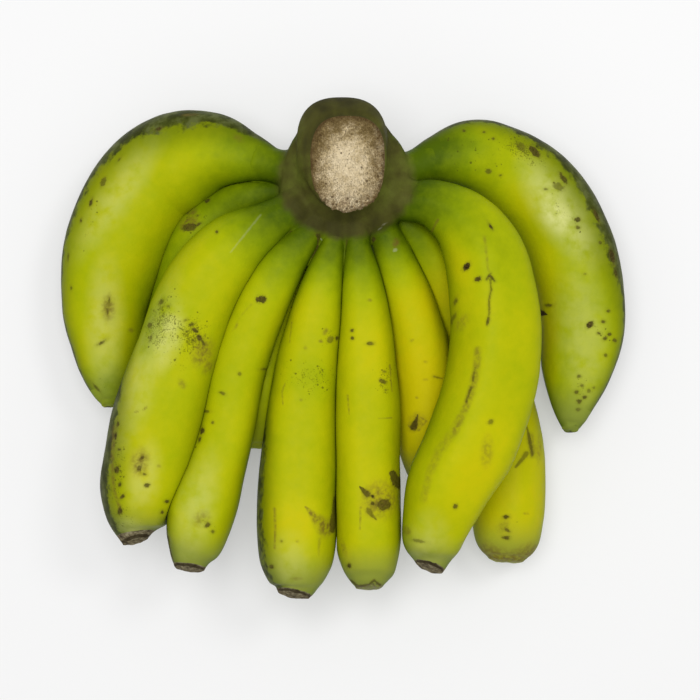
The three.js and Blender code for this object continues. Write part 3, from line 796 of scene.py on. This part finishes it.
def build_crown(fruits):
    """The crown with its necks and its cut end, as one piece with two materials."""
    shape = grown_crown(fruits)
    inset = fill_cut(shape, cut_loop(shape))
    for face in shape.faces:
        face.smooth = True
    shape.normal_update()
    depth = [inset.get(v, 0.0) for v in shape.verts]
    mesh = bpy.data.meshes.new("stalk_crown")
    shape.to_mesh(mesh)
    shape.free()
    spots = np.array([v.co for v in mesh.vertices]) / MM
    facing = np.array([v.normal.z for v in mesh.vertices])
    round_way = np.arctan2(spots[:, 1] - CROWN_AXIS[1], spots[:, 0] - CROWN_AXIS[0])
    bare_back = ease(spots[:, 1], 94, 103) * ease(np.abs(spots[:, 0]), 34, 24)
    stalk = np.maximum(ease(crown_share(spots), *STALK_FADE), ease(spots[:, 2], 62, 70))
    streaks = np.stack([9 * np.cos(round_way), 9 * np.sin(round_way), spots[:, 2] / 40], 1)
    off_middle = np.linalg.norm((spots[:, :2] - CUT_MIDDLE) / CUT_HALF, axis=1)
    add_layers(mesh, {
        "stalk": np.maximum(stalk, bare_back),
        "shade": np.full(len(spots), float(LIGHT_SKIN)),
        "ripe": NECK_RIPE * ease(beyond_crown(spots), 0, NECK_REACH),
        **marks(spots, "crown", facing > 0),
        "inset": depth,
        "paleness": ease(off_middle, 1.3, 0.3),
        "coarse": np.maximum(ease(spots[:, 1], 74, 64), 0.5 * ease(spots[:, 0], 13, 18)),
        # faint streaks, with a painted sheen that is lighter on the left and right sides and darker
        # towards the back
        "streak_and_sheen": (0.5 * lumps(streaks, 1.8, 14) + 0.2 * lumps(streaks, 0.6, 15)
                   + 0.6 * np.cos(2 * round_way) - 0.8 * np.maximum(np.sin(round_way), 0)),
        "facing": facing,
    })
    piece = show("stalk_crown", mesh)
    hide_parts("crown")
    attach(piece, "root")
    return piece


# Colours as a painter reads them off: red, green and blue from 0 to 255. A run of colours
# gives the place of each one from 0 to 1 first.
RIPENING = [(0.0, (72, 92, 4)), (0.28, (122, 140, 4)), (0.55, (158, 168, 4)),
            (0.8, (180, 179, 5)), (1.0, (194, 182, 5))]
TIP_GREEN = (119, 131, 57)
PALE_SHEEN_AND_BLOOM = (206, 208, 128)
WORN_OLIVE = (104, 98, 36)
# Painted shade on the outer sides: the green they darken towards, then the dark colours of the outermost
# face
SHADE_GREEN = (74, 88, 8)
SHADED_FACE = [(0.38, (42, 46, 12)), (0.5, (62, 68, 22)), (0.62, (86, 92, 48))]
SPECK_BROWN = (66, 62, 14)
STAIN_BROWN = (104, 84, 32)
HALO_OLIVE = (96, 92, 22)
BRUISE_AND_CREASE_SHADE = [(0.38, (36, 28, 10)), (0.66, (88, 74, 32))]
SCRATCH_AND_GLINT_PALE = (196, 194, 172)
HUSK = [(0.38, (66, 58, 46)), (0.5, (104, 94, 70)), (0.64, (146, 138, 108))]
RIM_BROWN = (46, 38, 22)
RIND = [(0.34, (52, 50, 23)), (0.5, (74, 73, 30)), (0.66, (94, 100, 38))]
RIND_BROWN = (62, 50, 27)
SPONGE = [(0.05, (98, 80, 44)), (0.35, (138, 118, 76)), (0.65, (194, 174, 134)),
          (1.0, (224, 206, 170))]
CHUNKS = [(0.38, (112, 84, 54)), (0.48, (186, 164, 126)), (0.6, (226, 210, 176))]
CUT_EDGE = (82, 64, 36)
GRIT_BROWN = (92, 72, 42)
STRAND_BROWN = (66, 48, 26)
# What is left of red, green and blue light on sides that turn away
FLANK_LIGHT = (0.52, 0.62, 0.45, 1)
# The layers that the skin's own colour comes from
SKIN_MASKS = ["ripe", "tip", "sheen_and_bloom", "crest", "facing", "shade"]


def paint(red, green, blue):
    """A painter's colour turned to the light values that nodes use."""
    share = np.array([red, green, blue]) / 255
    light = np.where(share <= 0.04045, share / 12.92, ((share + 0.055) / 1.055) ** 2.4)
    return (*light.tolist(), 1.0)


class Value:
    """What a shader node gives at each place, for plain sums with numbers and other values."""

    def __init__(self, nodes, socket):
        self.nodes, self.socket = nodes, socket

    def combined(self, operation, other):
        made = self.nodes.add("Math", {0: self, 1: other}, operation=operation)
        return self.nodes.out(made)

    def __add__(self, other):
        return self.combined("ADD", other)

    def __sub__(self, other):
        return self.combined("SUBTRACT", other)

    def __mul__(self, other):
        return self.combined("MULTIPLY", other)

    def at_least(self, other):
        return self.combined("MAXIMUM", other)

    def smooth(self, low, high):
        """0 at low, 1 at high, and smooth between them."""
        made = self.nodes.add("MapRange", {"Value": self, "From Min": low, "From Max": high},
                              interpolation_type="SMOOTHSTEP")
        return self.nodes.out(made, "Result")


class Nodes:
    """Adds shader nodes to a material or a group, round the spot that patterns follow."""

    def __init__(self, tree):
        self.tree, self.spot = tree, None

    def feed(self, socket, value):
        if isinstance(value, Value):
            self.tree.links.new(value.socket, socket)
        else:
            socket.default_value = value

    def add(self, kind, inputs=None, **settings):
        made = self.tree.nodes.new("ShaderNode" + kind)
        for key, value in settings.items():
            setattr(made, key, value)
        for key, value in (inputs or {}).items():
            self.feed(made.inputs[key], value)
        return made

    def out(self, made, key=0):
        return Value(self, made.outputs[key])

    def layer(self, name):
        return self.out(self.add("Attribute", attribute_name=name), "Fac")

    def blend(self, share, a, b, kind="MIX"):
        """From colour a to colour b, which is a value, a painter's colour or a light."""
        made = self.add("Mix", data_type="RGBA", blend_type=kind)
        ink = paint(*b) if isinstance(b, tuple) and len(b) == 3 else b
        for place, value in ((0, share), (6, a), (7, ink)):
            self.feed(made.inputs[place], value)
        return self.out(made, 2)

    def ramp(self, value, stops):
        """A colour that follows a run of painter's colours."""
        made = self.add("ValToRGB", {"Fac": value})
        band = made.color_ramp
        band.interpolation = "LINEAR"
        for (place, colour), end in zip((stops[0], stops[-1]), band.elements):
            end.position, end.color = place, paint(*colour)
        for place, colour in stops[1:-1]:
            band.elements.new(place).color = paint(*colour)
        return self.out(made, "Color")

    def cloud(self, size, detail=2.0, roughness=0.5, seed=0.0):
        """Soft noise round 0.5 with features of about size millimetres."""
        made = self.add("TexNoise", {"Vector": self.spot, "W": seed, "Scale": 1 / (size * MM),
                                     "Detail": detail, "Roughness": roughness},
                        noise_dimensions="4D")
        return self.out(made, "Fac")

    def sway(self, swing, size, detail, roughness, seed=0.0):
        """The same noise round 0, swing from end to end."""
        return self.cloud(size, detail, roughness, seed) * swing - swing / 2

    def dots(self, spot, spacing, chance, sizes, softness, dimensions="3D"):
        """Round dots of random sizes, each there by chance."""
        cells = self.add("TexVoronoi", {"Vector": spot, "Scale": 1 / (spacing * MM)},
                         voronoi_dimensions=dimensions)
        odds = self.add("SeparateColor", {"Color": self.out(cells, "Color")})
        size = self.out(odds, 1) * (sizes[1] - sizes[0]) + sizes[0]
        shape = self.out(cells, "Distance").smooth(size + softness, size)
        return shape * self.out(odds).combined("LESS_THAN", chance)

    def use(self, tree, *values):
        """Places a node group, feeds it the spot and the values, and gives back its outputs."""
        made = self.tree.nodes.new("ShaderNodeGroup")
        made.node_tree = tree
        for socket, value in zip(made.inputs, (self.spot, *values)):
            self.feed(socket, value)
        return [Value(self, socket) for socket in made.outputs]


def group(name, build, inputs, outputs):
    """A shader node group that takes a spot and some values. build gives back its outputs."""
    tree = bpy.data.node_groups.new(name, "ShaderNodeTree")
    sockets = [("spot", "INPUT", "Vector")] + [(label, "INPUT", "Float") for label in inputs]
    sockets += [(label, "OUTPUT", kind) for label, kind in outputs.items()]
    for label, way, kind in sockets:
        tree.interface.new_socket(name=label, in_out=way, socket_type="NodeSocket" + kind)
    nodes = Nodes(tree)
    given = tree.nodes.new("NodeGroupInput").outputs
    result = tree.nodes.new("NodeGroupOutput").inputs
    nodes.spot = Value(nodes, given["spot"])
    made = build(nodes, *[Value(nodes, given[label]) for label in inputs])
    for label, value in zip(outputs, made):
        nodes.feed(result[label], value)
    return tree


def speck_mask(nodes, density):
    """Fine dark flecks and rounder dots, more of both where the density is high."""
    grain = nodes.cloud(0.65, 3.0, 0.65) * 0.65 + nodes.cloud(2.4, 3.0, 0.6, 4.0) * 0.35
    flecks = (grain - (density * -0.15 + 0.64)).smooth(0.0, 0.08)
    wobble = nodes.add("TexNoise", {"Vector": nodes.spot, "Scale": 900.0})
    shift = nodes.add("VectorMath", {0: nodes.out(wobble, "Color"), "Scale": 0.8 * MM},
                      operation="SCALE")
    place = nodes.add("VectorMath", {0: nodes.spot, 1: nodes.out(shift)}, operation="ADD")
    dots = nodes.dots(nodes.out(place), 2.1, density * 0.4, (0.08, 0.24), 0.09)
    return [density.smooth(0.02, 0.2) * flecks.at_least(dots)]


def rind_look(nodes, streak_and_sheen):
    """The dark olive rind of the stalk, with green and brown mottling, faint streaks, and a painted
    sheen on its left and right sides, darker towards the back.
    """
    base = nodes.ramp(nodes.cloud(14, 3.0, 0.5) * 0.6 + 0.2 + streak_and_sheen * 0.12, RIND)
    grain = nodes.cloud(1.6, 4.0, 0.65, 3.0)
    return [nodes.blend(grain.smooth(0.5, 0.68) * 0.22, base, RIND_BROWN), grain]


def skin_look(nodes, ripe, tip, sheen_and_bloom, crest, facing, shade):
    """Banana skin from green to yellow, with grey-green ends, painted sheen, and painted shade on the
    sides that turn away and on the dark outer face.
    """
    ripe = ripe + nodes.sway(0.36, 26, 2.0, 0.5) + nodes.sway(0.26, 5, 4.0, 0.6, 5.0)
    colour = nodes.blend(tip * 0.8, nodes.ramp(ripe, RIPENING), TIP_GREEN)
    # painted sheen and highlights, with some pale waxy bloom, lighten the skin's colour
    sheen_and_wax = sheen_and_bloom * nodes.cloud(7, 4.0, 0.55, 15.0).smooth(0.2, 0.62)
    colour = nodes.blend(sheen_and_wax * 0.72, colour, PALE_SHEEN_AND_BLOOM)
    # painted shade: the sides that turn away from the light are darkened
    colour = nodes.blend(facing.smooth(0.85, -0.1), colour, FLANK_LIGHT, "MULTIPLY")
    worn = (crest + nodes.sway(2.4, 4, 4.0, 0.7, 9.0)).smooth(0.95, 1.5)
    colour = nodes.blend(worn * 0.2, colour, WORN_OLIVE)
    # painted shade towards the outermost face, then on the dark outermost face itself
    colour = nodes.blend(shade.smooth(-1.9, 0.6) * 0.6, colour, SHADE_GREEN)
    face = (shade + nodes.sway(2.4, 4.5, 4.0, 0.6, 10.0)).smooth(0.2, 0.8)
    shaded_face = nodes.ramp(nodes.cloud(7, 4.0, 0.6, 12.0), SHADED_FACE)
    return [nodes.blend(face * 0.94, colour, shaded_face)]


def new_material(name):
    """An empty material and its node helper, with patterns that follow the piece."""
    material = bpy.data.materials.new(name)
    material.use_nodes = True
    material.node_tree.nodes.clear()
    nodes = Nodes(material.node_tree)
    nodes.spot = nodes.out(nodes.add("TexCoord"), "Object")
    return material, nodes


def finish_material(nodes, looks, height=None, strength=0.0, depth=0.0):
    """Gives a material its surface, with relief in its light where a height is given."""
    if height is not None:
        bump = nodes.add("Bump", {"Height": height, "Strength": strength, "Distance": depth * MM})
        looks["Normal"] = nodes.out(bump, "Normal")
    surface = nodes.out(nodes.add("BsdfPrincipled", looks), "BSDF")
    nodes.add("OutputMaterial", {"Surface": surface})


def skin_material(name, skin, specks, rind):
    """Banana skin that turns to rind at the stalk, with specks, bruises and a dry end, and on the stalk
    painted crease shade and glints.
    """
    material, nodes = new_material(name)
    colour, = nodes.use(skin, *[nodes.layer(label) for label in SKIN_MASKS])
    dots, = nodes.use(specks, nodes.layer("specks"))
    colour = nodes.blend(dots * 0.62, colour, SPECK_BROWN)

    mottle = nodes.cloud(2.0, 4.0, 0.55, 17.0).smooth(0.36, 0.64)
    colour = nodes.blend(nodes.layer("stain") * (mottle * 1.1 + 0.6), colour, STAIN_BROWN)
    ragged = nodes.sway(2.8, 1.3, 5.0, 0.7, 2.0) + nodes.sway(2.4, 4, 3.0, 0.5, 18.0)
    field = ragged * nodes.layer("fray") + nodes.layer("marks_crease_shade_and_glints")
    marks_crease_shade_and_glints, halo = field.smooth(-0.15, 0.5), field.smooth(-1.1, 0.3)
    tone = nodes.layer("tone")
    dark, pale = tone.at_least(0.0), (tone * -1.0).at_least(0.0)
    colour = nodes.blend(halo * dark * 0.35, colour, HALO_OLIVE)
    mark = nodes.ramp(nodes.cloud(0.9, 4.0, 0.7, 6.0), BRUISE_AND_CREASE_SHADE)
    # dark marks: bruises, and on the crown painted shade in the creases between the necks
    colour = nodes.blend(marks_crease_shade_and_glints * dark, colour, mark)
    stem, grain = nodes.use(rind, nodes.layer("streak_and_sheen"))
    stalk = (nodes.layer("stalk") + nodes.sway(0.9, 5, 4.0, 0.6, 21.0)).smooth(0.1, 0.9)
    colour = nodes.blend(stalk, colour, stem)
    # pale marks: scratches, and on the crown painted glints on drops of water
    colour = nodes.blend(marks_crease_shade_and_glints * pale, colour, SCRATCH_AND_GLINT_PALE)

    fray = nodes.sway(1.6, 1.6, 4.0, 0.7, 7.0)
    dry = (nodes.layer("dry") + fray * 0.6).smooth(0.25, 0.6)
    husk = nodes.ramp(nodes.cloud(2.2, 5.0, 0.7, 4.0), HUSK)
    edge = (nodes.layer("rim") + fray * 0.5).smooth(0.2, 0.6)
    colour = nodes.blend(edge * 0.85, nodes.blend(dry, colour, husk), RIM_BROWN)

    rough = marks_crease_shade_and_glints.at_least(dots) * 0.2 + (nodes.cloud(4, 4.0, 0.6, 11.0) * 0.4 + 0.28)
    rough = rough.at_least(dry * 0.85).at_least(stalk * 0.6)
    height = nodes.cloud(4, 2.0, 0.5, 13.0) * 1.2 + nodes.cloud(0.8, 3.0, 0.6, 12.0) * 0.25
    height = height - marks_crease_shade_and_glints * 0.4 - dots * 0.3
    height = height + dry * nodes.cloud(1.6, 5.0, 0.75, 4.0) + stalk * grain * 0.5
    finish_material(nodes, {"Base Color": colour, "Roughness": rough,
                            "Specular IOR Level": SKIN_GLOSS}, height, 0.4, 0.4)
    return material


def cut_material():
    """The spongy tan end of the stalk, dotted with dark strands and brown round its edge, partly
    browning and partly painted shade under the rind's rim.
    """
    material, nodes = new_material("stalk_cut")
    inset, coarse = nodes.layer("inset"), nodes.layer("coarse")
    sponge = nodes.cloud(0.9, 4.0, 0.75, 5.0).smooth(0.36, 0.64)
    light = nodes.layer("paleness") * 0.66 + (nodes.cloud(5, 4.0, 0.6) * 1.2 - 0.44)
    colour = nodes.ramp(light + (sponge * 0.22 - 0.11), SPONGE)
    chunk = nodes.cloud(2.6, 3.0, 0.6, 22.0)
    colour = nodes.blend(coarse * 0.6, colour, nodes.ramp(chunk, CHUNKS))
    # brown edge: partly browning, partly painted shade where the rind's rim stands over the cut
    edge = (inset + nodes.sway(0.5, 2.0, 4.0, 0.7, 3.0)).smooth(0.1, 0.0)
    colour = nodes.blend(edge * 0.7, colour, CUT_EDGE)
    crowded = inset.smooth(0.8, 0.1)
    grit = (nodes.cloud(0.55, 3.0, 0.7, 8.0) + crowded * 0.08).smooth(0.54, 0.64)
    colour = nodes.blend(grit * (crowded * 0.35 + 0.12), colour, GRIT_BROWN)
    fine = nodes.dots(nodes.spot, 0.9, crowded * 0.34 + 0.08, (0.06, 0.2), 0.14, "2D")
    large = nodes.dots(nodes.spot, 2.3, coarse * 0.47 + 0.03, (0.06, 0.2), 0.14, "2D")
    dots = (fine * 0.6).at_least(large * 0.75)
    colour = nodes.blend(dots, colour, STRAND_BROWN)
    height = sponge * 0.4 + chunk * coarse * 3.0 - dots.at_least(grit * 0.5)
    finish_material(nodes, {"Base Color": colour, "Roughness": 0.85,
                            "Specular IOR Level": 0.1}, height, 0.9, 0.5)
    return material


# The studio: how bright the surroundings are, how pale the lit table is and how much it glows,
# and the soft lamps above, each with its place, width and power
SKY_STRENGTH = 0.52
FLOOR_SHADE = 0.6
FLOOR_GLOW = 0.28
FLOOR_SIZE = 6
FLOOR_DROP = 0.5 * MM
LAMPS = {
    "overhead": ((-0.1, 0.12, 1.25), 0.8, 8.6),
    "upper_right": ((0.55, 0.45, 1.1), 0.35, 2.5),
}


def add_floor():
    """A plain pale table that glows faintly."""
    bpy.ops.mesh.primitive_plane_add(size=FLOOR_SIZE, location=(0, 0, -FLOOR_DROP))
    floor = bpy.context.object
    floor.name = "pale_floor"
    material, nodes = new_material("pale_floor")
    finish_material(nodes, {"Base Color": (FLOOR_SHADE, FLOOR_SHADE, FLOOR_SHADE, 1),
                            "Roughness": 0.9, "Emission Color": (1, 1, 1, 1),
                            "Emission Strength": FLOOR_GLOW})
    floor.data.materials.append(material)


def add_lights():
    """Even white surroundings and soft round lamps that point at the hand."""
    world = bpy.data.worlds.new("studio")
    world.use_nodes = True
    sky = world.node_tree.nodes["Background"]
    sky.inputs["Color"].default_value = (1, 1, 1, 1)
    sky.inputs["Strength"].default_value = SKY_STRENGTH
    bpy.context.scene.world = world
    for name, (place, width, power) in LAMPS.items():
        lamp = bpy.data.lights.new(name, "AREA")
        lamp.shape, lamp.size, lamp.energy = "DISK", width, power
        light = show(name, lamp)
        light.location = place
        light.rotation_euler = (-Vector(place)).to_track_quat("-Z", "Y").to_euler()


def add_camera():
    """A camera that looks straight down on the hand."""
    lens = bpy.data.cameras.new("above")
    lens.sensor_width = SENSOR_WIDTH
    lens.lens = SENSOR_WIDTH * FOCAL_PX / PICTURE_WIDTH_PX
    lens.clip_start = 10 * MM
    camera = show("above", lens)
    camera.location = (CAMERA_X * MM, 0, CAMERA_HEIGHT * MM)
    bpy.context.scene.camera = camera
    bpy.context.scene.view_settings.view_transform = "Standard"


fruits, bananas = build_fruits()
crown = build_crown(fruits)
looks = (group("banana_skin", skin_look, SKIN_MASKS, {"Color": "Color"}),
         group("dark_specks", speck_mask, ["density"], {"Mask": "Float"}),
         group("stalk_rind", rind_look, ["streak_and_sheen"], {"Color": "Color", "Height": "Float"}))
banana_skin = skin_material("banana_skin", *looks)
for banana in bananas:
    banana.data.materials.append(banana_skin)
crown.data.materials.append(skin_material("stalk_rind", *looks))
crown.data.materials.append(cut_material())
add_floor()
add_lights()
add_camera()
